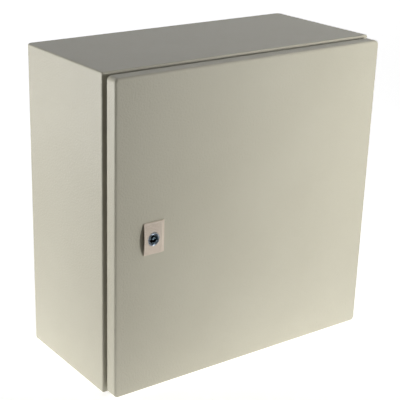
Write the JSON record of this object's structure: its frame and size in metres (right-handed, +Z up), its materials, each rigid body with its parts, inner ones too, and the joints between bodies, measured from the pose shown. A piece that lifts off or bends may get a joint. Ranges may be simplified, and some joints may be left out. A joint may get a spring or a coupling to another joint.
{
  "type": "wall-mounted electrical enclosure",
  "caption": "Square sheet-steel wall enclosure with a hinged, sealed door, a quarter-turn cam lock, a mounting plate inside and a gland plate over the cable entry.",
  "frame": {"origin": "on the wall, in the middle of the four wall-fixing holes", "axes": "+Y points into the wall, the door faces -Y, +X is to the right seen from the front, +Z is up"},
  "size_m": [0.4, 0.2058, 0.4],
  "materials": {
    "powder_coat": "fine textured powder coat, light grey",
    "zinc_steel": "zinc-plated",
    "lock_zinc": "chromed zinc casting",
    "cover_plastic": "moulded, matt, beige",
    "foam_seal": "foamed polyurethane skin",
    "flat_seal": "black sheet rubber"
  },
  "bodies": {
    "enclosure": {"enclosure_body": "powder_coat", "mounting_plate": "zinc_steel", "mounting_studs": "zinc_steel", "mounting_washers": "zinc_steel", "mounting_nuts": "zinc_steel", "gland_plate": "zinc_steel", "gland_seal": "flat_seal", "gland_studs": "zinc_steel", "gland_nuts": "zinc_steel", "case_earth_stud": "zinc_steel", "case_earth_washer": "zinc_steel", "case_earth_nut": "zinc_steel", "hinge_bracket_upper": "powder_coat", "hinge_bracket_lower": "powder_coat", "hinge_pin_upper": "zinc_steel", "hinge_pin_lower": "zinc_steel", "hinge_clips": "zinc_steel"},
    "door": {"door_panel": "powder_coat", "door_seal": "foam_seal", "door_rail_left": "powder_coat", "door_rail_right": "powder_coat", "hinge_leaf_upper": "powder_coat", "hinge_leaf_lower": "powder_coat", "door_earth_stud": "zinc_steel", "door_earth_washer": "zinc_steel", "door_earth_nut": "zinc_steel", "lock_housing": "lock_zinc", "lock_seal": "flat_seal", "lock_nut": "zinc_steel", "lock_escutcheon": "cover_plastic"},
    "lock": {"lock_insert": "lock_zinc", "lock_cam": "zinc_steel", "cam_washer": "zinc_steel", "cam_screw": "zinc_steel"}
  },
  "joints": [
    {"name": "door_hinge", "type": "hinge", "parent": "enclosure", "child": "door", "pos_m": [0.1935, -0.19, 0], "axis": [0, 0, 1], "range_deg": [0, 130]},
    {"name": "lock_turn", "type": "hinge", "parent": "door", "child": "lock", "pos_m": [-0.1475, -0.19, 0.002], "axis": [0, 1, 0], "range_deg": [0, 90]}
  ]
}
